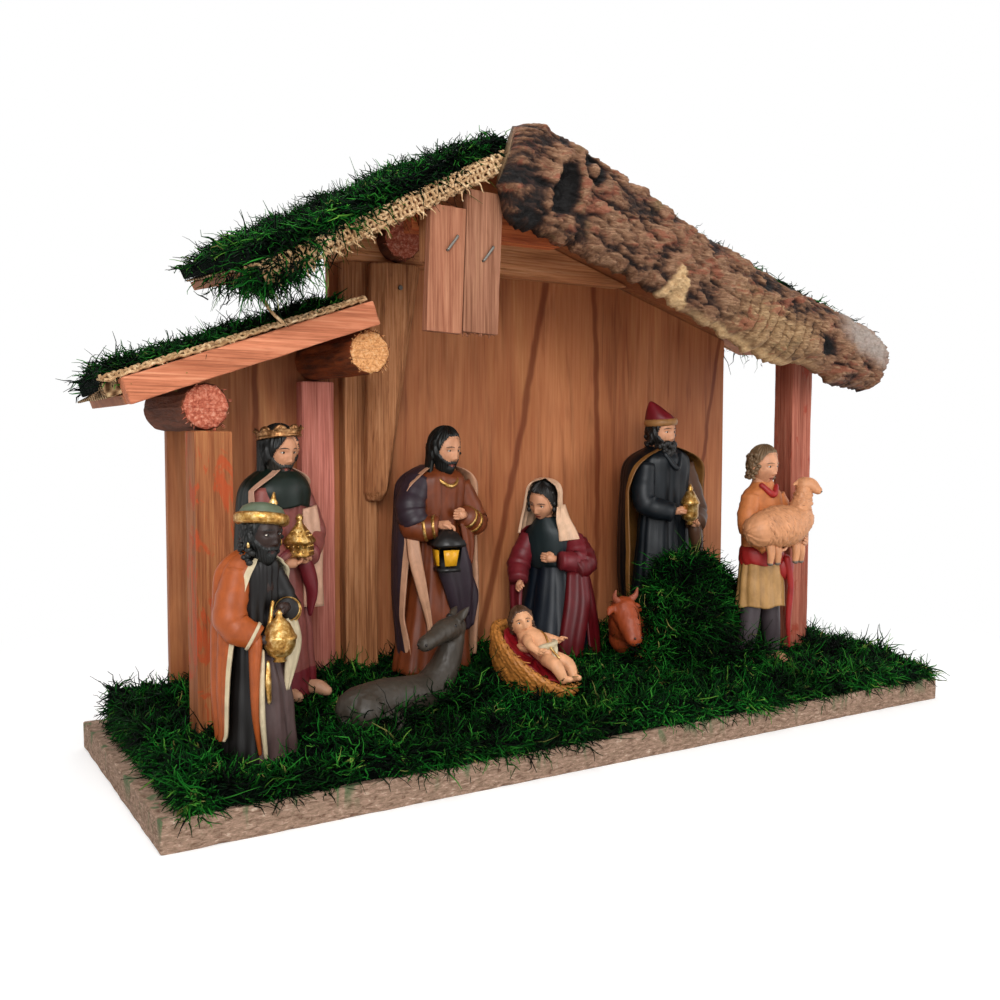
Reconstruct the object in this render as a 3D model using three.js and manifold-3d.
// Nativity scene: a wooden stable on a particle-board base, with moss, bark, sacking and ten cast figures.
// Millimetres. +X is to the right, +Y to the back, +Z up. The origin is the middle of the board's underside.
import * as THREE from "three";
import { mergeVertices } from "three/addons/utils/BufferGeometryUtils.js";
import Module from "manifold-3d";

const wasm = await Module();
wasm.setup();

// Clearances
const clearance = 0.3;
const snug = 0.35;

// Base board and the moss on it
const boardWidth = 300;
const boardDepth = 105;
const boardThickness = 8.5;
const mossMargin = 2;
const mossBareLeft = 7;
const mossFrontHeight = 4;
const mossBackHeight = 11;
const mossBump = 1.1;
const clumpX = 68;
const clumpY = 0;
const clumpWidth = 54;
const clumpDepth = 29;
const clumpHeight = 42;
const bankX = 66;
const bankY = 18;
const bankWidth = 42;
const bankDepth = 24;
const bankHeight = 6;
const holeTop = 60;

// Back panels, stood on the board
const panelThickness = 3;
const panelBackInset = 7.5;
const panelSideInset = 26;
const leftPanelWidth = 57;

// Square battens
const postWidth = 11;
const postDepth = 10;
const postFrontInset = 42;
const postSideInset = 21;
const rightPostInset = 27;
const outerPostHeight = 96;
const rearPostWidth = 12;
const rearPostDepth = 5;
const midPostWidth = 12.5;
const midPostDepth = 6;
const midPostInset = 3.5;

// Tapered slab, beam and short log on the back wall
const slabTopWidth = 20;
const slabFootWidth = 8.5;
const slabThickness = 6.5;
const slabFootHeight = 80;
const slabLean = 8;
const slabSideStep = 6;
const slabBluntHeight = 3;
const beamHeight = 14;
const beamDepth = 8;
const beamBottom = 165;
const beamLength = 128;
const gableLogDiameter = 14.6;
const gableLogLength = 8;
const nailHeadDiameter = 1.8;
const nailHeadHeight = 0.8;
const nailBelowBeam = 9;

// Lean-to on the left
const logDiameter = 14;
const logLength = 49.5;
const innerLogInset = 77;
const outerLogInset = 25.5;
const leanToLeftInset = 6;
const leanToRightInset = 81;
const leanToFrontY = -6;
const fasciaHeight = 7.6;
const fasciaDepth = 6;
const leanToPanelThickness = 3;
const burlapThickness = 1;
const leanToMossHeight = 5.5;
const leanToMossOverhang = 2;
const leanToMossSetback = 6;
const leanToRise = 18;

// Main roof: two planes that meet on a ridge, which rises to the back
const ridgeX = -30;
const ridgeZ = 194;
const roofFrontY = -24.5;
const roofDepth = 76;
const roofThickness = 3;
const roofTilt = THREE.MathUtils.degToRad(4);
const leftPitch = THREE.MathUtils.degToRad(28);
const rightPitch = THREE.MathUtils.degToRad(17.5);
const leftSlopeLength = 94;
const rightSlopeLength = 182;
const roofMossHeight = 4.2;
const burlapOverhang = 2;
const burlapLip = 2;
const roofMossOverhang = 1.2;
const roofMossSetback = 0.5;

// Bark on the front edge of the right slope
const barkLength = 184;
const barkStart = -4.5;
const barkThickness = 13;
const barkGap = 1.6;
const barkMiddleUp = -10;

// Battens and boards that hang in the gable
const railHeight = 9;
const railDepth = 6;
const railBottom = 167;
const railLeftX = -62;
const railRightX = -6;
const railFrontY = -15;
const hangerHeight = 15;
const hangerWidth = 23;
const hangerBottom = 157;
const hangingBoardThickness = 3;
const hangingBoardTilt = THREE.MathUtils.degToRad(2.3);
const leftBoardWidth = 12.4;
const leftBoardLength = 38.5;
const leftBoardTop = 173.4;
const rightBoardWidth = 12.8;
const rightBoardLength = 44;
const rightBoardTop = 179.8;
const boardsMiddleX = -48.2;
const stapleWire = 0.9;
const stapleCrown = 5.8;
const stapleTurn = THREE.MathUtils.degToRad(33);
const stapleStep = 0.8;
const stapleSide = 1.6;
const stapleZ = 161.5;

// Figures: where each stands, how high its soles are, which way it faces, in degrees from the front, half the
// hem's width and depth, and how far the head leans to its left and forward
const crownKing = { x: -96, y: 14, foot: 19, turn: 28, height: 88, hem: [13, 10.5], lean: [-1, 0] };
const hatKing = { x: -118, y: -27.5, foot: 12.5, turn: 18, height: 70.5, hem: [9, 8], lean: [0.6, 2.4] };
const capKing = { x: 72, y: 22, foot: 22, turn: 4, height: 92, hem: [18.5, 11.5], lean: [-2.6, 0] };
const father = { x: -32.5, y: 24.5, foot: 19, turn: 8, height: 88, hem: [15.5, 11], lean: [0, 3.4] };
const shepherd = { x: 90, y: -16, foot: 14, turn: 2, height: 86.5, hem: [13, 9], lean: [-1, 0] };
const mother = { x: 17.6, y: 21.5, foot: 19, turn: -48, height: 69, hem: [17, 16], lean: [-3.6, 2.4] };
const cradle = { x: -18, y: -8.5, foot: 12, turn: -64, length: 36, width: 24, height: 12, lean: 35 };
const childLength = 29;
const donkeyPlace = { x: -64, y: -10, foot: 9.5, turn: 12, length: 46 };
const oxPlace = { x: 46, y: 0.5, foot: 17, turn: 4, length: 32 };

// Half the openings in the moss for the low castings, as shares of the casting's own length and width
const cradleSeat = [0.38, 0.46];
const cradleSeatShift = 0.18;
const donkeySeat = [0.63, 0.46];
const oxSeat = [0.66, 0.42];
const oxBack = 23;
const stanceRoom = 2.5;

// The middle of a standing casting's head, as a share of its height, and half the head's width
const headShare = 0.905;
const headRadius = 5.4;

// Shapes of the standing castings, as shares of the height
const robeOutline = [[0, 1, 0], [0.1, 0.96, 0], [0.45, 0.76, 0], [0.66, 0.74, 0.04], [0.78, 0.8, 0.06],
  [0.825, 0.5, 0.06], [0.845, 0.3, 0.02]];
const cloakOutline = [[0.04, 0.9, 0.2], [0.14, 0.93, 0.24], [0.3, 1.02, 0.34], [0.6, 0.98, 0.3], [0.76, 1.0, 0.22],
  [0.82, 0.62, 0.2], [0.84, 0.3, 0.2]];

// Sides of the turned and lofted forms
const fineSides = 12;
const coarseSides = 8;

// Colours
const woodColour = "#b0704e";
const panelColour = "#8a5640";
const boardColour = "#aa7868";
const mossColour = "#2f5c1e";
const burlapColour = "#c9b48a";
const barkColour = "#5c4636";

const scene = new THREE.Group();

// Levels that several pieces share
const halfWidth = boardWidth / 2;
const halfDepth = boardDepth / 2;
const panelBackY = halfDepth - panelBackInset;
const panelFrontY = panelBackY - panelThickness;
const innerLogX = -halfWidth + innerLogInset;
const outerLogX = -halfWidth + outerLogInset;
const leftPanelX = -halfWidth + panelSideInset;
const mainPanelX = leftPanelX + leftPanelWidth + clearance;
const postFrontY = -halfDepth + postFrontInset;
const postLeftX = -halfWidth + postSideInset;
const postRightX = halfWidth - rightPostInset - postWidth;
const rearPostX = innerLogX - rearPostWidth / 2;
const midPostX = mainPanelX + midPostInset;
const logRadius = logDiameter / 2;

function material(colour, roughness = 0.8, metalness = 0) {
  return new THREE.MeshStandardMaterial({ color: colour, roughness, metalness });
}

function add(name, geometry, look, parent = scene) {
  const mesh = new THREE.Mesh(geometry, look);
  mesh.name = name;
  parent.add(mesh);
  return mesh;
}

// Solids for cutting and joining

function toSolid(geometry) {
  const plain = new THREE.BufferGeometry();
  plain.setAttribute("position", geometry.getAttribute("position").clone());
  if (geometry.index) {
    plain.setIndex(geometry.index.clone());
  }
  const merged = mergeVertices(plain, 1e-4);
  const vertProperties = new Float32Array(merged.getAttribute("position").array);
  const triVerts = new Uint32Array(merged.index.array);
  return new wasm.Manifold(new wasm.Mesh({ numProp: 3, vertProperties, triVerts }));
}

function toGeometry(solid) {
  const data = solid.getMesh();
  const geometry = new THREE.BufferGeometry();
  geometry.setAttribute("position", new THREE.BufferAttribute(new Float32Array(data.vertProperties), 3));
  geometry.setIndex(new THREE.BufferAttribute(new Uint32Array(data.triVerts), 1));
  geometry.computeVertexNormals();
  return geometry;
}

// A casting is solid, so pockets sealed between the joined pieces are filled: their skins have no volume inside
function join(geometries) {
  const whole = geometries.map(toSolid).reduce((sum, piece) => sum.add(piece));
  return whole.decompose().filter((body) => body.volume() > 0).reduce((sum, body) => sum.add(body));
}

function cut(solid, cutters) {
  return cutters.reduce((rest, cutter) => rest.subtract(cutter), solid);
}

// Simple shapes

function block(x0, x1, y0, y1, z0, z1) {
  const geometry = new THREE.BoxGeometry(x1 - x0, y1 - y0, z1 - z0);
  return geometry.translate((x0 + x1) / 2, (y0 + y1) / 2, (z0 + z1) / 2);
}

// An outline of [x, z] points, thickened from frontY to backY
function slab(outline, frontY, backY) {
  const shape = new THREE.Shape(outline.map(([x, z]) => new THREE.Vector2(x, z)));
  const geometry = new THREE.ExtrudeGeometry(shape, { depth: backY - frontY, bevelEnabled: false });
  return geometry.rotateX(Math.PI / 2).translate(0, backY, 0);
}

// A round bar along Y with softened ends
function log(x, z, radius, frontY, backY, sides = fineSides) {
  const soft = radius * 0.12;
  const length = backY - frontY;
  const profile = [[0, 0], [radius - soft, 0], [radius, soft], [radius, length - soft],
    [radius - soft, length], [0, length]];
  const geometry = new THREE.LatheGeometry(profile.map(([r, h]) => new THREE.Vector2(r, h)), sides);
  return geometry.translate(x, frontY, z);
}

function turned(profile, sides = coarseSides) {
  const geometry = new THREE.LatheGeometry(profile.map(([r, h]) => new THREE.Vector2(r, h)), sides);
  return geometry.rotateX(Math.PI / 2);
}

function ellipsoid(x, y, z, rx, ry, rz, sides = coarseSides) {
  return new THREE.SphereGeometry(1, sides, Math.ceil(sides * 0.6)).scale(rx, rz, ry)
    .rotateX(Math.PI / 2).translate(x, y, z);
}

// Rings of equal counts of points, joined into one closed skin with a fan at each end
function skin(rings) {
  const count = rings[0].length;
  const positions = [];
  const faces = [];
  rings.forEach((ring) => ring.forEach((point) => positions.push(point.x, point.y, point.z)));
  for (let level = 0; level < rings.length - 1; level += 1) {
    for (let side = 0; side < count; side += 1) {
      const a = level * count + side;
      const b = level * count + ((side + 1) % count);
      faces.push(a, b, b + count, a, b + count, a + count);
    }
  }
  [rings[0], rings[rings.length - 1]].forEach((ring, end) => {
    const middle = ring.reduce((sum, point) => sum.add(point), new THREE.Vector3()).divideScalar(count);
    const centre = positions.length / 3;
    const first = end === 0 ? 0 : (rings.length - 1) * count;
    positions.push(middle.x, middle.y, middle.z);
    for (let side = 0; side < count; side += 1) {
      const a = first + side;
      const b = first + ((side + 1) % count);
      faces.push(...(end === 0 ? [centre, b, a] : [centre, a, b]));
    }
  });
  const geometry = new THREE.BufferGeometry();
  geometry.setAttribute("position", new THREE.Float32BufferAttribute(positions, 3));
  geometry.setIndex(faces);
  return geometry;
}

// Level ellipses: each is { x, y, z, rx, ry }
function loft(ellipses, sides = fineSides) {
  return skin(ellipses.map(({ x = 0, y = 0, z, rx, ry }) => Array.from({ length: sides }, (_, side) => {
    const angle = (2 * Math.PI * side) / sides;
    return new THREE.Vector3(x + rx * Math.cos(angle), y + ry * Math.sin(angle), z);
  })));
}

// A limb: a tapered round bar through a few points, with a radius at each
function limb(points, radii, sides = 6) {
  const path = points.map((point) => new THREE.Vector3(...point));
  const up = new THREE.Vector3(0.3, 1, 0.2).normalize();
  return skin(path.map((point, index) => {
    const before = path[Math.max(index - 1, 0)];
    const after = path[Math.min(index + 1, path.length - 1)];
    const along = after.clone().sub(before).normalize();
    const side = new THREE.Vector3().crossVectors(up, along).normalize();
    const lift = new THREE.Vector3().crossVectors(along, side);
    return Array.from({ length: sides }, (_, step) => {
      const angle = (2 * Math.PI * step) / sides;
      return point.clone().addScaledVector(side, radii[index] * Math.cos(angle))
        .addScaledVector(lift, radii[index] * Math.sin(angle));
    });
  }));
}

// A closed sheet over a grid: its top follows topAt(x, y) and its underside bottomAt(x, y)
function turf(x0, x1, y0, y1, columns, rows, topAt, bottomAt) {
  const positions = [];
  const faces = [];
  const wide = columns + 1;
  const layer = wide * (rows + 1);
  [topAt, bottomAt].forEach((heightAt) => {
    for (let row = 0; row <= rows; row += 1) {
      for (let column = 0; column <= columns; column += 1) {
        const x = x0 + ((x1 - x0) * column) / columns;
        const y = y0 + ((y1 - y0) * row) / rows;
        positions.push(x, y, heightAt(x, y));
      }
    }
  });
  for (let row = 0; row < rows; row += 1) {
    for (let column = 0; column < columns; column += 1) {
      const a = row * wide + column;
      const corners = [a, a + 1, a + wide + 1, a + wide];
      faces.push(corners[0], corners[1], corners[2], corners[0], corners[2], corners[3]);
      const low = corners.map((corner) => corner + layer);
      faces.push(low[0], low[2], low[1], low[0], low[3], low[2]);
    }
  }
  const rim = [];
  for (let column = 0; column < columns; column += 1) {
    rim.push(column);
  }
  for (let row = 0; row < rows; row += 1) {
    rim.push(row * wide + columns);
  }
  for (let column = columns; column > 0; column -= 1) {
    rim.push(rows * wide + column);
  }
  for (let row = rows; row > 0; row -= 1) {
    rim.push(row * wide);
  }
  rim.forEach((a, index) => {
    const b = rim[(index + 1) % rim.length];
    faces.push(a, a + layer, b + layer, a, b + layer, b);
  });
  const geometry = new THREE.BufferGeometry();
  geometry.setAttribute("position", new THREE.Float32BufferAttribute(positions, 3));
  geometry.setIndex(faces);
  return geometry;
}

// Roof planes. On each slope, +X runs along the slope, level, +Y runs to the back and z = 0 is the upper
// face of its panel. The front edges stand in one upright plane, and the whole roof rises to the back.
function roofPlane(pitch) {
  return new THREE.Matrix4().makeTranslation(ridgeX, roofFrontY, ridgeZ)
    .multiply(new THREE.Matrix4().makeShear(0, 0, 0, Math.tan(roofTilt), 0, 0))
    .multiply(new THREE.Matrix4().makeRotationY(pitch));
}

const leftRoof = roofPlane(-leftPitch);
const rightRoof = roofPlane(rightPitch);

// Everything above the undersides of the two roof panels, and a clearance below them
const roofSpace = [leftRoof, rightRoof].map((plane) => {
  const reach = boardWidth + boardDepth;
  return toSolid(block(-reach, reach, -reach, reach, -roofThickness - snug, reach).applyMatrix4(plane));
});
const roofTop = ridgeZ + boardDepth;

// A piece that ends under a roof: its blank runs up through the roof and is trimmed there
function trimmed(blank, space = roofSpace) {
  return toGeometry(cut(toSolid(blank), space));
}

// Lean-to plane: a line over the two logs, level along Y
const outerLogZ = boardThickness + outerPostHeight + logRadius;
const innerLogZ = outerLogZ + leanToRise;
const leanToPitch = Math.atan2(leanToRise, innerLogX - outerLogX);
const leanTo = new THREE.Group();
leanTo.position.set(innerLogX, 0, innerLogZ);
leanTo.rotation.y = -leanToPitch;
leanTo.updateMatrixWorld(true);
scene.add(leanTo);
const leanToUnder = logRadius + clearance;
const leanToSpace = [toSolid(block(-boardWidth, boardWidth, -boardDepth, boardDepth, leanToUnder - snug, boardWidth)
  .applyMatrix4(leanTo.matrixWorld))];
const leanToStart = (leanToLeftInset - innerLogInset) / Math.cos(leanToPitch);
const leanToEnd = (leanToRightInset - innerLogInset) / Math.cos(leanToPitch);

// Ground

function baseBoard() {
  const geometry = block(-halfWidth, halfWidth, -halfDepth, halfDepth, 0, boardThickness);
  add("base_board", geometry, material(boardColour, 0.9));
}

// Moss rises from the front edge to the back wall, with low bumps
function mossTop(x, y) {
  const share = (y + halfDepth) / (panelFrontY + halfDepth);
  const swell = mossFrontHeight + (mossBackHeight - mossFrontHeight) * share;
  const bumps = Math.sin(x * 0.19) * Math.cos(y * 0.23 + x * 0.05) + Math.sin(x * 0.07 + y * 0.11);
  const bank = bankHeight * Math.exp(-(((x - bankX) / bankWidth) ** 2) - ((y - bankY) / bankDepth) ** 2);
  return boardThickness + swell + bank + mossBump * bumps;
}

// The footprint of something that stands in the moss, opened up by a clearance, from low to high
function footHole(place, rx, ry, low = place.foot, high = holeTop, along = 0) {
  const hole = loft([low, high].map((z) => ({ x: along, z, rx: rx + snug, ry: ry + snug })), 14);
  return toSolid(hole.rotateZ(THREE.MathUtils.degToRad(place.turn)).translate(place.x, place.y, 0));
}

function squareHole(x0, x1, y0, y1) {
  return toSolid(block(x0 - clearance, x1 + clearance, y0 - clearance, y1 + clearance, 0, holeTop));
}

function mossHoles() {
  const standing = [crownKing, hatKing, capKing, father, mother];
  return [
    ...standing.map((figure) => footHole(figure, figure.hem[0], figure.hem[1])),
    footHole(shepherd, shepherd.hem[0] + stanceRoom, shepherd.hem[1] + stanceRoom),
    footHole(cradle, cradle.length * cradleSeat[0], cradle.width * cradleSeat[1], cradle.foot, holeTop,
      cradle.length * cradleSeatShift),
    footHole(donkeyPlace, donkeyPlace.length * donkeySeat[0], donkeyPlace.length * donkeySeat[1]),
    footHole(oxPlace, oxPlace.length * oxSeat[0], oxPlace.length * oxSeat[1]),
    squareHole(postLeftX, postLeftX + postWidth, postFrontY, postFrontY + postDepth),
    squareHole(postRightX, postRightX + postWidth, postFrontY, postFrontY + postDepth),
    squareHole(rearPostX, rearPostX + rearPostWidth, panelFrontY - rearPostDepth, panelFrontY),
    squareHole(midPostX, midPostX + midPostWidth, panelFrontY - midPostDepth, panelFrontY),
  ];
}

function mossMat() {
  const x0 = -halfWidth + mossBareLeft;
  const x1 = halfWidth - mossMargin;
  const y0 = -halfDepth + mossMargin;
  const y1 = panelFrontY - clearance;
  const mat = toSolid(turf(x0, x1, y0, y1, 28, 9, mossTop, () => boardThickness));
  add("moss_mat", toGeometry(cut(mat, mossHoles())), material(mossColour, 1));
}

function mossClump() {
  const dome = toSolid(ellipsoid(clumpX, clumpY, boardThickness + mossBackHeight / 2, clumpWidth / 2,
    clumpDepth / 2, clumpHeight, 14));
  const ground = toSolid(turf(clumpX - clumpWidth, clumpX + clumpWidth, clumpY - clumpDepth, clumpY + clumpDepth,
    14, 10, (x, y) => mossTop(x, y) + clearance + mossBump, () => -boardDepth));
  const holes = [
    footHole(capKing, capKing.hem[0] + 1, capKing.hem[1] + 4, 0),
    footHole(shepherd, shepherd.hem[0] + stanceRoom, shepherd.hem[1] + stanceRoom, 0),
    footHole(oxPlace, oxPlace.length * oxSeat[0], oxPlace.length * oxSeat[1], 0, oxPlace.foot + oxBack),
  ];
  add("moss_clump", toGeometry(cut(dome.subtract(ground), holes)), material(mossColour, 1));
}

// Walls

function backPanels() {
  const left = block(leftPanelX, leftPanelX + leftPanelWidth, panelFrontY, panelBackY, boardThickness, roofTop);
  add("back_panel_left", trimmed(left, leanToSpace), material(panelColour));
  const main = block(mainPanelX, halfWidth - panelSideInset, panelFrontY, panelBackY, boardThickness, roofTop);
  add("back_panel_main", trimmed(main), material(panelColour));
}

function posts() {
  const wood = () => material(woodColour);
  add("front_left_post", block(postLeftX, postLeftX + postWidth, postFrontY, postFrontY + postDepth,
    boardThickness, boardThickness + outerPostHeight), wood());
  add("front_right_post", trimmed(block(postRightX, postRightX + postWidth, postFrontY, postFrontY + postDepth,
    boardThickness, roofTop)), wood());
  add("rear_left_post", block(rearPostX, rearPostX + rearPostWidth, panelFrontY - rearPostDepth, panelFrontY,
    boardThickness, innerLogZ - logRadius - clearance), material("#b9736a"));
  add("mid_post_lower", block(midPostX, midPostX + midPostWidth, panelFrontY - midPostDepth, panelFrontY,
    boardThickness, beamBottom), material("#8c6145"));
}

// A split slab: wide at the top, pointed at the foot, with a rounded face
function midPostUpper() {
  const backY = panelFrontY - midPostDepth - clearance;
  const topX = midPostX + midPostWidth;
  const levels = [[slabFootHeight, slabFootWidth * 0.6, 0.6], [slabFootHeight + slabBluntHeight, slabFootWidth, 1],
    [(slabFootHeight + beamBottom) / 2, (slabTopWidth + slabFootWidth) / 2, 1],
    [beamBottom - clearance, slabTopWidth, 1]];
  const rings = levels.map(([z, width, depth]) => {
    const rise = (z - slabFootHeight) / (beamBottom - slabFootHeight);
    const middle = topX + slabLean * (rise - 1) + slabSideStep;
    const half = width / 2;
    const thick = slabThickness * depth;
    return [[-half, 0], [-half, -thick * 0.5], [-half * 0.5, -thick * 0.95], [half * 0.5, -thick],
      [half, -thick * 0.5], [half, 0]].map(([x, y]) => new THREE.Vector3(middle + x, backY + y, z));
  });
  const body = toSolid(skin(rings));
  const nail = { x: topX + slabSideStep, z: beamBottom - nailBelowBeam };
  const faceY = backY - slabThickness;
  const head = toSolid(log(nail.x, nail.z, nailHeadDiameter / 2, faceY - nailHeadHeight, faceY, coarseSides));
  add("mid_post_upper", toGeometry(body), material("#7d5437"));
  add("slab_nail", toGeometry(head.subtract(body.translate([0, -0.05, 0]))), material("#4b4540", 0.5, 0.8));
}

function rearBeam() {
  const frontY = panelFrontY - beamDepth;
  add("rear_beam", trimmed(block(mainPanelX, mainPanelX + beamLength, frontY, panelFrontY, beamBottom,
    beamBottom + beamHeight)), material("#9a6a48"));
  const logZ = beamBottom + gableLogDiameter / 2 + clearance;
  const logX = midPostX + midPostWidth + slabSideStep;
  add("gable_log", log(logX, logZ, gableLogDiameter / 2, frontY - gableLogLength, frontY), material("#a5583f"));
}

// Lean-to

function leanToRoof() {
  const backY = panelFrontY;
  const frontY = backY - logLength;
  add("lean_to_log_outer", log(outerLogX, outerLogZ, logRadius, frontY, backY), material("#a5583f"));
  add("lean_to_log_inner", log(innerLogX, innerLogZ, logRadius, frontY, backY), material("#c8966a"));
  const fasciaBackY = leanToFrontY - clearance;
  add("lean_to_fascia", block(leanToStart, leanToEnd, fasciaBackY - fasciaDepth, fasciaBackY,
    leanToUnder, leanToUnder + fasciaHeight), material(woodColour), leanTo);
  const panelTop = leanToUnder + leanToPanelThickness;
  add("lean_to_panel", block(leanToStart, leanToEnd, leanToFrontY, panelFrontY + panelThickness,
    leanToUnder, panelTop), material("#9b4a35"), leanTo);
  const under = panelTop + clearance;
  const burlapTop = under + burlapThickness;
  const riserY = leanToFrontY + snug;
  const lapY = leanToFrontY - fasciaDepth * 0.6;
  const lapZ = leanToUnder + fasciaHeight + clearance;
  const innerY = riserY + burlapThickness;
  const lapTop = lapZ + burlapThickness;
  add("lean_to_burlap", slabAlong([[backY, under], [riserY, under], [riserY, lapZ], [lapY, lapZ],
    [lapY, lapTop], [innerY, lapTop], [innerY, burlapTop], [backY, burlapTop]],
  leanToStart, leanToEnd + burlapOverhang), material(burlapColour, 1), leanTo);
  const mossFrom = burlapTop + clearance;
  const mossAt = (x, y) => mossFrom + leanToMossHeight + Math.sin(x * 0.33) * Math.cos(y * 0.31) * mossBump;
  const moss = turf(leanToStart - leanToMossOverhang, leanToEnd - leanToMossSetback, innerY + clearance,
    backY - clearance, 9, 5, mossAt, () => mossFrom);
  add("lean_to_moss", moss, material(mossColour, 1), leanTo);
}

// An outline of [y, z] points, thickened from x0 to x1
function slabAlong(outline, x0, x1) {
  const shape = new THREE.Shape(outline.map(([y, z]) => new THREE.Vector2(y, z)));
  const geometry = new THREE.ExtrudeGeometry(shape, { depth: x1 - x0, bevelEnabled: false });
  const placed = new THREE.Matrix4().makeBasis(new THREE.Vector3(0, 1, 0), new THREE.Vector3(0, 0, 1),
    new THREE.Vector3(1, 0, 0));
  return geometry.applyMatrix4(placed).translate(x0, 0, 0);
}

// Main roof

function roofSide(side, plane, length, sign) {
  const mitre = roofThickness * Math.tan((leftPitch + rightPitch) / 2) + snug;
  const [x0, x1] = sign < 0 ? [-length, -mitre] : [mitre, length];
  const panel = block(x0, x1, 0, roofDepth, -roofThickness, 0);
  add(`roof_panel_${side}`, panel.applyMatrix4(plane), material(panelColour));
  const under = clearance;
  const top = clearance + burlapThickness;
  const lipBack = -clearance;
  const lipFront = lipBack - burlapThickness;
  const lipLow = -roofThickness - burlapLip;
  const sheet = [[0, under], [roofDepth, under], [roofDepth, top], [0, top]];
  const folded = [[lipFront, lipLow], [lipBack, lipLow], [lipBack, under], [roofDepth, under],
    [roofDepth, top], [lipFront, top]];
  const outer = (amount) => (sign < 0 ? [x0 - amount, x1 - clearance] : [x0 + clearance, x1 + amount]);
  const burlap = slabAlong(sign < 0 ? folded : sheet, ...outer(burlapOverhang));
  add(`roof_burlap_${side}`, burlap.applyMatrix4(plane), material(burlapColour, 1));
  const mossFrom = top + clearance;
  const mossAt = (x, y) => mossFrom + roofMossHeight + Math.sin(x * 0.27) * Math.cos(y * 0.29) * mossBump;
  const columns = sign < 0 ? 9 : 16;
  const moss = turf(...outer(roofMossOverhang), roofMossSetback, roofDepth, columns, 6, mossAt, () => mossFrom);
  add(`roof_moss_${side}`, moss.applyMatrix4(plane), material(mossColour, 1));
}

// The bark is a long plate whose lower edge waves. Points are shares of its length, then mm up the slope's normal
const barkUpper = [[0, 6.5], [0.09, 9.2], [0.3, 7.2], [0.42, 3.6], [0.7, 2.6], [0.93, 3.2], [0.985, 0]];
const barkLower = [[1, -15], [0.975, -20.5], [0.9, -22.4], [0.79, -21.5], [0.69, -27.5], [0.52, -25.5],
  [0.33, -23.4], [0.2, -25], [0.03, -25.8], [0, -16]];

function barkFascia() {
  const outline = [...barkUpper, ...barkLower].reverse()
    .map(([share, up]) => [barkStart + share * barkLength, up]);
  const middleX = barkStart + barkLength / 2;
  const layer = (y, shrinkAlong, shrinkAcross) => outline.map(([x, up]) => new THREE.Vector3(
    middleX + (x - middleX) * shrinkAlong, y, barkMiddleUp + (up - barkMiddleUp) * shrinkAcross));
  const backY = -barkGap;
  const frontY = backY - barkThickness;
  const layers = [layer(backY, 1, 1), layer(frontY + barkThickness * 0.55, 1, 1),
    layer(frontY + barkThickness * 0.2, 0.99, 0.84), layer(frontY, 0.97, 0.5)];
  const mesh = add("bark_fascia", skinFlat(layers), material(barkColour, 1));
  mesh.position.set(ridgeX, roofFrontY, ridgeZ);
  mesh.rotation.y = rightPitch;
}

// Like skin, for outlines that a fan can't close: the ends are cut into triangles by their shape
function skinFlat(rings) {
  const count = rings[0].length;
  const positions = [];
  const faces = [];
  rings.forEach((ring) => ring.forEach((point) => positions.push(point.x, point.y, point.z)));
  const flat = rings[0].map((point) => new THREE.Vector2(point.x, point.z));
  for (let level = 0; level < rings.length - 1; level += 1) {
    for (let side = 0; side < count; side += 1) {
      const a = level * count + side;
      const b = level * count + ((side + 1) % count);
      faces.push(a, b, b + count, a, b + count, a + count);
    }
  }
  const last = (rings.length - 1) * count;
  THREE.ShapeUtils.triangulateShape(flat, []).forEach(([a, b, c]) => {
    faces.push(a, c, b);
    faces.push(a + last, b + last, c + last);
  });
  const geometry = new THREE.BufferGeometry();
  geometry.setAttribute("position", new THREE.Float32BufferAttribute(positions, 3));
  geometry.setIndex(faces);
  return geometry;
}

// Gable battens, hanging boards and staples

function gable() {
  add("gable_rail", trimmed(block(railLeftX, railRightX, railFrontY, railFrontY + railDepth, railBottom,
    railBottom + railHeight)), material(woodColour));
  const hangerBackY = railFrontY;
  const hangerFrontY = hangerBackY - railDepth;
  const hangerX = boardsMiddleX - hangerWidth / 2;
  add("hanger_block", block(hangerX, hangerX + hangerWidth, hangerFrontY, hangerBackY, hangerBottom,
    hangerBottom + hangerHeight), material(woodColour));
  hangingBoard("left", -1, leftBoardWidth, leftBoardLength, leftBoardTop, hangerFrontY);
  hangingBoard("right", 1, rightBoardWidth, rightBoardLength, rightBoardTop, hangerFrontY);
}

function hangingBoard(side, sign, width, length, top, hangerFrontY) {
  const backY = hangerFrontY - clearance;
  const frontY = backY - hangingBoardThickness;
  const holder = new THREE.Group();
  holder.position.set(boardsMiddleX, 0, stapleZ);
  holder.rotation.y = hangingBoardTilt;
  holder.updateMatrixWorld(true);
  scene.add(holder);
  const near = (sign * clearance) / 2;
  const far = near + sign * width;
  const rise = top - stapleZ;
  const board = block(Math.min(near, far), Math.max(near, far), frontY, backY, rise - length, rise);
  add(`hanging_board_${side}`, trimmed(board.applyMatrix4(holder.matrixWorld)), material("#b87850"));
  const staple = block(-stapleCrown / 2, stapleCrown / 2, -stapleWire, 0, -stapleWire / 2, stapleWire / 2);
  const mesh = add(`staple_${side}`, staple, material("#8d8d8a", 0.4, 0.9), holder);
  mesh.position.set((near + far) / 2 + stapleSide, frontY - 0.05, -sign * stapleStep);
  mesh.rotation.y = -(Math.PI / 2 - stapleTurn);
}

// Castings. Each is drawn facing the front (-Y) at its own origin and then placed

function place(figure, pieces, name, colour, roughness = 0.45) {
  const mesh = add(name, toGeometry(join(pieces)), material(colour, roughness));
  mesh.position.set(figure.x, figure.y, figure.foot);
  mesh.rotation.z = THREE.MathUtils.degToRad(figure.turn);
}

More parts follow.
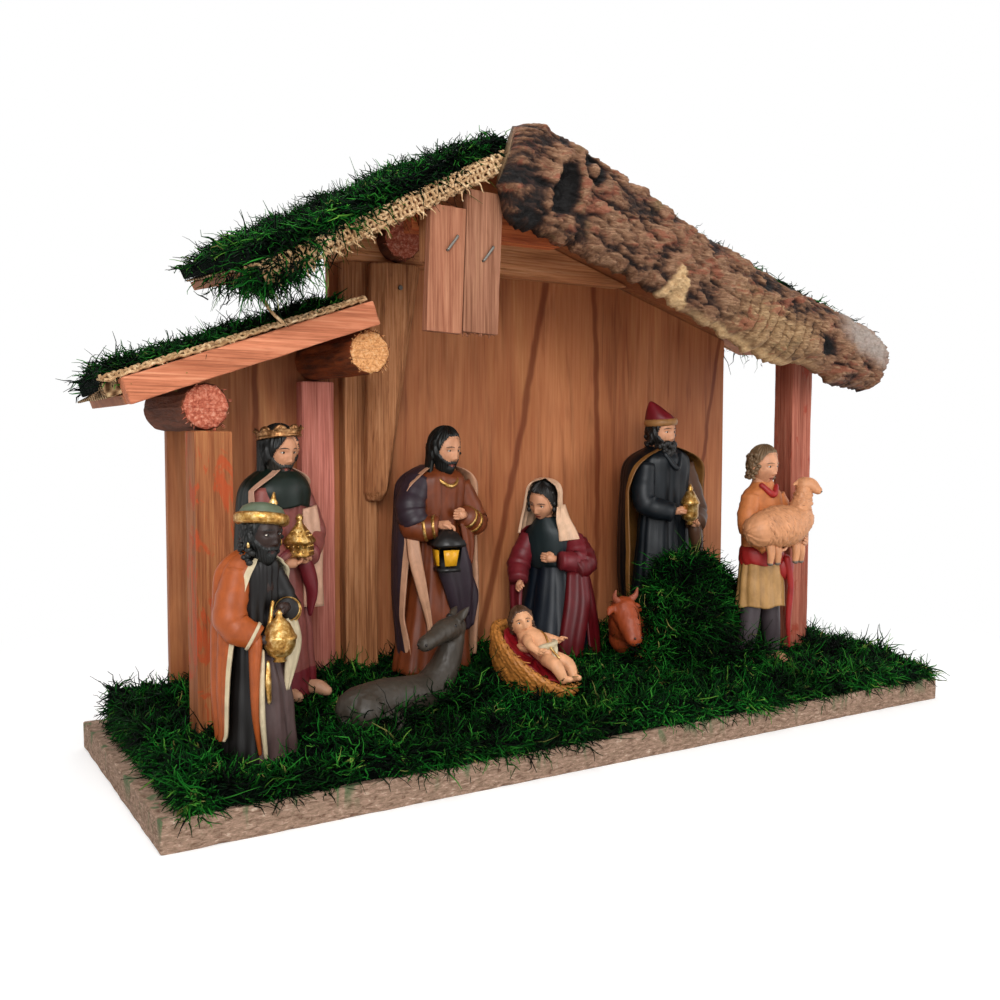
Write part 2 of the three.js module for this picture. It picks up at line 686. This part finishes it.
function robe(figure) {
  const [rx, ry] = figure.hem;
  return loft(robeOutline.map(([share, width, forward]) => ({
    z: share * figure.height, rx: rx * width, ry: ry * width, y: -forward * ry,
  })));
}

function cloak(figure, width = 1) {
  const [rx, ry] = figure.hem;
  return loft(cloakOutline.map(([share, wide, back]) => ({
    z: share * figure.height, rx: rx * wide * width, ry: ry * wide * 0.62, y: ry * back,
  })));
}

// A head and what it wears, moved by the lean
function leaning(figure, pieces) {
  return pieces.map((piece) => piece.translate(figure.lean[0], -figure.lean[1], 0));
}

// Head, hair, neck and nose
function headPieces(figure, size = 1) {
  const z = headShare * figure.height;
  const rx = headRadius * size;
  const y = -1.2;
  return [
    ellipsoid(0, y, z, rx, rx * 1.12, rx * 1.4),
    ellipsoid(0, y + 1.4, z + 1, rx * 1.14, rx * 1.15, rx * 1.4),
    limb([[0, y + 0.5, z - rx * 2.1], [0, y, z - rx * 0.4]], [rx * 0.8, rx * 0.8], coarseSides),
    limb([[0, y - rx * 1.02, z + 0.3], [0, y - rx * 1.2, z - rx * 0.26], [0, y - rx * 0.95, z - rx * 0.4]],
      [0.4, 0.85, 0.4], 6),
  ];
}

function beard(figure, size = 1) {
  const z = headShare * figure.height;
  return ellipsoid(0, -3.6 * size, z - 5.6 * size, 4.4 * size, 3.4 * size, 4.6 * size);
}

function crownPieces(figure) {
  const z = headShare * figure.height + 3.6;
  const rx = 6.1;
  const ring = loft([{ z, rx, ry: rx * 1.06, y: -0.3 }, { z: z + 2.6, rx: rx * 1.05, ry: rx * 1.1, y: -0.3 }], 12);
  const points = Array.from({ length: 6 }, (_, step) => {
    const angle = (step / 6) * 2 * Math.PI;
    const x = rx * Math.cos(angle) * 0.93;
    const y = rx * Math.sin(angle) - 0.3;
    return loft([{ x, y, z: z + 2, rx: 1.5, ry: 1.2 }, { x: x * 1.1, y: y * 1.1, z: z + 5.4, rx: 0.3, ry: 0.3 }], 5);
  });
  return [ring, ...points];
}

function bandHatPieces(figure) {
  const z = headShare * figure.height + 2.4;
  const top = figure.height - 3;
  return [
    loft([{ z, rx: 7.2, ry: 7.4 }, { z: z + 1.4, rx: 7.9, ry: 8 }, { z: z + 3.4, rx: 7.4, ry: 7.6 }], 12),
    loft([{ z: z + 3, rx: 6.2, ry: 6.4 }, { z: top, rx: 5.2, ry: 5.4 }, { z: top + 1, rx: 2, ry: 2 }], 12),
    loft([{ z: top, rx: 1.2, ry: 1.2 }, { z: figure.height, rx: 0.35, ry: 0.35 }], 6),
  ];
}

function capPieces(figure) {
  const z = headShare * figure.height + 1.5;
  return [
    loft([{ z, rx: 6.6, ry: 7 }, { z: z + 1.6, rx: 7, ry: 7.4 }, { z: z + 3, rx: 6.4, ry: 6.8 }], 12),
    loft([{ z: z + 2, rx: 6.2, ry: 6.5 }, { z: z + 5, rx: 4.8, ry: 5, x: -0.8 },
      { z: figure.height, rx: 0.6, ry: 0.6, x: -2.6 }], 12),
  ];
}

// The folds of cloth between the chest and the forearms
function chest(figure) {
  const [rx, ry] = figure.hem;
  return ellipsoid(0, -ry * 0.62, figure.height * 0.585, rx * 0.62, ry * 0.5, figure.height * 0.1);
}

// Places on a casting are shares: of half the hem's width, of half its depth to the front, and of the height
function spot(figure, [across, forward, up]) {
  return [across * figure.hem[0], -forward * figure.hem[1], up * figure.height];
}

// An arm from the shoulder by the elbow to a hand held in front of the chest
function arm(figure, sign, hand) {
  const h = figure.height;
  const [rx, ry] = figure.hem;
  const [handX, handY, handZ] = spot(figure, hand);
  const shoulder = [sign * rx * 0.66, -ry * 0.05, h * 0.765];
  const elbow = [sign * rx * 0.87, -ry * 0.32, h * 0.575];
  const wrist = [handX + sign * 1.5, handY + 1.2, handZ];
  return [
    limb([shoulder, [sign * rx * 0.86, -ry * 0.15, h * 0.68], elbow], [3.6, 3.9, 3.8]),
    limb([elbow, [(elbow[0] + wrist[0]) / 2, (elbow[1] + wrist[1]) / 2, (elbow[2] + wrist[2]) / 2 - 0.6], wrist],
      [3.7, 3.8, 3.2]),
    ellipsoid(handX, handY, handZ, 2.2, 2.4, 1.9, 8),
  ];
}

function lidded(figure, foot, radius, height) {
  return turned([[0, 0], [radius * 0.5, 0], [radius, height * 0.3], [radius, height * 0.5],
    [radius * 1.1, height * 0.52], [radius * 0.3, height * 0.85], [0, height]]).translate(...spot(figure, foot));
}

function kings() {
  place(crownKing, [robe(crownKing), chest(crownKing), cloak(crownKing),
    ...leaning(crownKing, [...headPieces(crownKing), beard(crownKing), ...crownPieces(crownKing)]),
    ...arm(crownKing, -1, [-0.46, 1.1, 0.505]), ...arm(crownKing, 1, [-0.12, 1.1, 0.51]),
    lidded(crownKing, [-0.3, 1.18, 0.53], 4.6, 14)], "king_with_crown", "#5b4a3c");
  place(hatKing, [robe(hatKing), chest(hatKing), cloak(hatKing),
    ...leaning(hatKing, [...headPieces(hatKing, 0.95), beard(hatKing, 0.9), ...bandHatPieces(hatKing)]),
    ...arm(hatKing, -1, [-0.3, 1.18, 0.5]), ...arm(hatKing, 1, [0.3, 1.18, 0.6]),
    lidded(hatKing, [0.1, 1.3, 0.41], 4.6, 15)], "king_with_hat", "#b06a35");
  place(capKing, [robe(capKing), chest(capKing), cloak(capKing, 1.08),
    ...leaning(capKing, [...headPieces(capKing), beard(capKing, 1.1), ...capPieces(capKing)]),
    ...arm(capKing, -1, [-0.1, 1.04, 0.56]), ...arm(capKing, 1, [0.28, 1.04, 0.5]),
    lidded(capKing, [0.11, 1.16, 0.5], 3.8, 17)], "king_with_cap", "#2a3136");
}

function fatherFigure() {
  place(father, [robe(father), chest(father), cloak(father, 1.05),
    ...leaning(father, [...headPieces(father), beard(father)]),
    ...arm(father, -1, [-0.33, 1.08, 0.6]), ...arm(father, 1, [0.19, 0.95, 0.637]),
    lidded(father, [-0.32, 1.16, 0.42], 4.6, 15)], "father_figure", "#6b4733");
}

function kneelingMother() {
  const h = mother.height;
  const pieces = [
    loft([{ z: 0, rx: 17, ry: 16 }, { z: 8, rx: 16, ry: 15 }, { z: 20, rx: 13.5, ry: 11, y: 1 },
      { z: 34, rx: 10.5, ry: 8, y: 2, x: -0.6 }, { z: 46, rx: 11, ry: 7.4, y: 0.4, x: -1.6 },
      { z: 50, rx: 7, ry: 5.6, y: -0.6, x: -2.2 }, { z: 53, rx: 3.6, ry: 3.6, y: -1.4, x: -2.8 }]),
    ...leaning(mother, [
      ellipsoid(0, -2.2, h - 9, 5.4, 6, 7.4),
      loft([{ z: h - 20, rx: 8.6, ry: 5.4, y: 4 }, { z: h - 12, rx: 7.6, ry: 7, y: 1.6 },
        { z: h - 5, rx: 6.8, ry: 7, y: 0 }, { z: h - 1, rx: 4.2, ry: 4.4, y: 0.4 },
        { z: h, rx: 1.6, ry: 1.8, y: 0.6 }])]),
    limb([[-10, 0, 44], [-13, -5, 35], [-11, -12, 29]], [4, 4.2, 3.4]),
    limb([[8, 0, 44], [10, -5, 37], [2, -10.5, 38]], [4, 4.2, 3.2]),
    ellipsoid(-10.6, -13.4, 28.5, 2.2, 2.6, 1.9, 8),
    ellipsoid(0.6, -11, 38.5, 2.4, 2.2, 1.9, 8),
  ];
  place(mother, pieces, "mother_figure", "#3a3a44");
}

function shepherdFigure() {
  const h = shepherd.height;
  const leg = (x) => limb([[x * 0.5, 0.5, h * 0.4], [x * 0.75, 0, h * 0.2], [x, 0, 3]], [4.6, 3.9, 2.8], 8);
  const foot = (x) => loft([{ z: 0, x, y: -2.2, rx: 2.8, ry: 5.4 }, { z: 2, x, y: -1.8, rx: 2.7, ry: 5 },
    { z: 4, x, y: 0.6, rx: 2.4, ry: 2.4 }], 8);
  const pieces = [
    loft([{ z: h * 0.28, rx: 9.4, ry: 7 }, { z: h * 0.42, rx: 9.2, ry: 6.8 }, { z: h * 0.55, rx: 8.4, ry: 6.4 },
      { z: h * 0.76, rx: 10.5, ry: 6.4 }, { z: h * 0.82, rx: 5.4, ry: 4.4 }]),
    leg(-8), leg(8), foot(-8.6), foot(8.6),
    ...leaning(shepherd, headPieces(shepherd)),
    ...arm(shepherd, -1, [-0.3, 1.25, 0.54]), ...arm(shepherd, 1, [0.75, 1.25, 0.56]),
    ellipsoid(-0.6, -10.5, h * 0.635, 14, 5.6, 7.6),
    limb([[8.4, -10.5, h * 0.68], [11, -11.4, h * 0.795]], [4.4, 3.2], 8),
    ellipsoid(12.6, -12, h * 0.81, 3.8, 5, 3.4, 8),
    limb([[6, -11, h * 0.58], [5, -13, h * 0.49]], [1.9, 1.4], 6),
    limb([[-8, -11, h * 0.58], [-9, -12.5, h * 0.48]], [1.9, 1.4], 6),
    ellipsoid(8.4, -3, h * 0.44, 5.4, 5.4, 6),
  ];
  place(shepherd, pieces, "shepherd", "#b27c50");
}

// The crib is an oval dish whose head end is raised
const leanAngle = THREE.MathUtils.degToRad(cradle.lean);

function crib() {
  const rx = cradle.length / 2;
  const ry = cradle.width / 2;
  const body = toSolid(loft([{ z: 0, rx: rx * 0.62, ry: ry * 0.66 },
    { z: cradle.height * 0.4, rx: rx * 0.86, ry: ry * 0.9 }, { z: cradle.height, rx, ry }], 18));
  const dish = toSolid(ellipsoid(0, 0, cradle.height + 1, rx * 0.84, ry * 0.8, 3.4, 14));
  const raise = Math.sin(leanAngle) * rx * 0.62;
  const mesh = add("manger", toGeometry(body.subtract(dish)), material("#b9834e"));
  const holder = cradleHolder(raise);
  holder.add(mesh);
  const z = cradle.height + clearance;
  const l = childLength;
  const child = join([
    ellipsoid(0, -l * 0.38, z + 4.2, 4.3, 4.6, 4.3),
    limb([[0, -l * 0.24, z + 2.6], [0, 0, z + 3], [0, l * 0.2, z + 2]], [3.6, 4.4, 3.6], 10),
    limb([[-1.6, l * 0.16, z + 2.2], [-3.6, l * 0.36, z + 3], [-2.6, l * 0.56, z + 1.4]], [2.5, 2.1, 1.2]),
    limb([[1.6, l * 0.16, z + 2.2], [3.8, l * 0.34, z + 3.6], [3, l * 0.54, z + 1.6]], [2.5, 2.1, 1.2]),
    limb([[-2.6, -l * 0.16, z + 3.4], [-6.6, -l * 0.08, z + 4.6], [-7.6, l * 0.04, z + 6]], [1.9, 1.5, 1]),
    limb([[2.6, -l * 0.16, z + 3.4], [6.4, -l * 0.04, z + 4.4], [7.8, l * 0.1, z + 5.4]], [1.9, 1.5, 1]),
  ]);
  const childMesh = add("infant", toGeometry(child), material("#e2b98f"));
  childMesh.rotation.z = -Math.PI / 2;
  holder.add(childMesh);
}

function cradleHolder(raise) {
  const holder = new THREE.Group();
  holder.position.set(cradle.x, cradle.y, cradle.foot + raise);
  holder.rotation.set(0, leanAngle, THREE.MathUtils.degToRad(cradle.turn), "ZYX");
  scene.add(holder);
  return holder;
}

function donkey() {
  const l = donkeyPlace.length;
  const pieces = [
    loft([{ z: 0, rx: l * 0.42, ry: l * 0.2 }, { z: 5, rx: l * 0.46, ry: l * 0.22 },
      { z: 12, rx: l * 0.42, ry: l * 0.17 }, { z: 16, rx: l * 0.3, ry: l * 0.09 }]),
    limb([[l * 0.3, 0, 9], [l * 0.42, -1, 18], [l * 0.46, -1.5, 28]], [7, 5, 4], 9),
    limb([[l * 0.49, -1, 30], [l * 0.3, -4.4, 30], [l * 0.08, -8, 27.5]], [4.4, 4, 3], 9),
    limb([[l * 0.46, -1, 30], [l * 0.5, 2, 33], [l * 0.53, 4, 36.5]], [1.8, 1.8, 0.6], 6),
    limb([[l * 0.44, -3, 30], [l * 0.45, -3.6, 33.5], [l * 0.44, -4, 37.5]], [1.8, 1.8, 0.6], 6),
    limb([[l * 0.34, -4, 6], [l * 0.5, -8, 2.6], [l * 0.26, -12, 2]], [3.4, 2.2, 1.7]),
    limb([[-l * 0.3, -4, 7], [-l * 0.16, -10, 3], [-l * 0.38, -12, 2]], [4.4, 2.4, 1.8]),
    limb([[l * 0.3, 4, 5], [l * 0.44, 9, 2.4], [l * 0.24, 11, 2]], [3.2, 2.1, 1.6]),
  ];
  place(donkeyPlace, pieces, "donkey", "#5d5f5c");
}

function ox() {
  const l = oxPlace.length;
  const pieces = [
    loft([{ z: 0, rx: l * 0.5, ry: l * 0.22 }, { z: 6, rx: l * 0.53, ry: l * 0.24 },
      { z: 16, rx: l * 0.48, ry: l * 0.19 }, { z: 21, rx: l * 0.34, ry: l * 0.1 }]),
    limb([[-l * 0.3, 0, 13], [-l * 0.44, -3, 18], [-l * 0.5, -6, 20]], [8, 6.6, 5.4], 10),
    limb([[-l * 0.5, -4, 22], [-l * 0.52, -9, 17], [-l * 0.54, -12, 12]], [5.6, 4.6, 3.6], 10),
    limb([[-l * 0.5 - 4, -5, 24], [-l * 0.5 - 8, -6, 27], [-l * 0.5 - 7.6, -7, 31]], [1.8, 1.3, 0.4], 6),
    limb([[-l * 0.5 + 4, -5, 24], [-l * 0.5 + 8, -6, 27], [-l * 0.5 + 7.6, -7, 31]], [1.8, 1.3, 0.4], 6),
    limb([[-l * 0.2, -5, 6], [-l * 0.34, -10, 2.6], [-l * 0.12, -11.4, 2]], [3.6, 2.4, 1.9]),
  ];
  place(oxPlace, pieces, "ox", "#84482f");
}

baseBoard();
mossMat();
mossClump();
backPanels();
posts();
midPostUpper();
rearBeam();
leanToRoof();
roofSide("left", leftRoof, leftSlopeLength, -1);
roofSide("right", rightRoof, rightSlopeLength, 1);
barkFascia();
gable();
kings();
fatherFigure();
kneelingMother();
shepherdFigure();
crib();
donkey();
ox();

export default scene;
